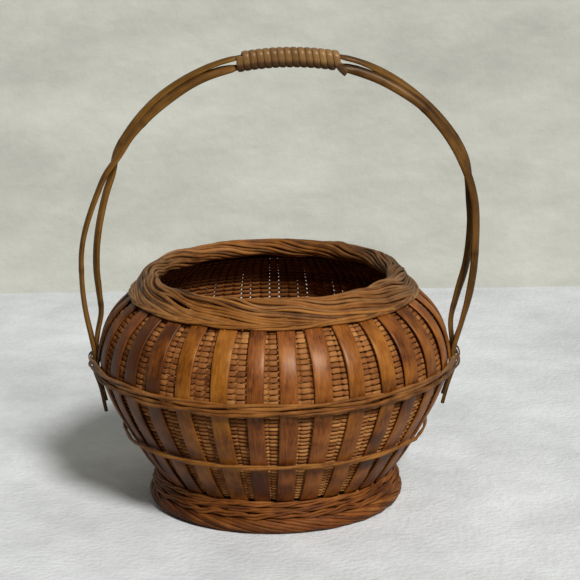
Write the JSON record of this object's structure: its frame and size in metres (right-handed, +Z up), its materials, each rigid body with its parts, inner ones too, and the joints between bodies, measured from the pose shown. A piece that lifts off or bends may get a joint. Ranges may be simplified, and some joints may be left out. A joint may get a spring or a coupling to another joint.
{
  "type": "bamboo flower basket",
  "caption": "Round woven bamboo basket with a swelling waist, flat slats over the weave, rolled rim, ring foot and a tall arched cane handle with a wrapped grip.",
  "frame": {"origin": "on the floor, under the middle of the whole width; the centre of the foot is 4.1 mm to the left of it", "axes": "+Z up through the mouth, +X from one foot of the handle to the other, -Y towards the viewer"},
  "size_m": [0.2776, 0.2542, 0.3199],
  "materials": {
    "weave": "fine twined splints, stained brown, matt",
    "slat": "split bamboo, stained red-brown, satin",
    "rattan": "twined rattan strands, satin",
    "foot_rattan": "rolled and twined rattan, satin",
    "cane": "split cane with its bark outside, satin",
    "wrap": "flat rattan strip, satin"
  },
  "bodies": {
    "basket": {"base_weave": "weave", "belly_weave": "weave", "dome_weave": "weave", "shoulder_weave": "weave", "rolled_rim": "rattan", "foot_roll": "foot_rattan", "foot_wall": "foot_rattan", "neck_row_1": "rattan", "neck_row_2": "rattan", "neck_row_3": "rattan", "waist_row_lower": "rattan", "waist_row_upper": "rattan", "mid_ring": "rattan", "foot_row_1": "foot_rattan", "foot_row_2": "foot_rattan", "foot_row_3": "foot_rattan", "slat_01": "slat", "slat_02": "slat", "slat_03": "slat", "slat_04": "slat", "slat_05": "slat", "slat_06": "slat", "slat_07": "slat", "slat_08": "slat", "slat_09": "slat", "slat_10": "slat", "slat_11": "slat", "slat_12": "slat", "slat_13": "slat", "slat_14": "slat", "slat_15": "slat", "slat_16": "slat", "slat_17": "slat", "slat_18": "slat", "slat_19": "slat", "slat_20": "slat", "slat_21": "slat", "slat_22": "slat", "slat_23": "slat", "slat_24": "slat", "slat_25": "slat", "slat_26": "slat", "slat_27": "slat", "slat_28": "slat", "slat_29": "slat", "slat_30": "slat", "slat_31": "slat", "slat_32": "slat"},
    "handle": {"front_cane": "cane", "rear_cane": "cane", "grip_wrap": "wrap"}
  },
  "joints": [
    {"name": "handle_rock", "type": "hinge", "parent": "basket", "child": "handle", "pos_m": [-0.0041, 0, 0.10035], "axis": [1, 0, 0], "range_deg": [-15, 15]}
  ]
}
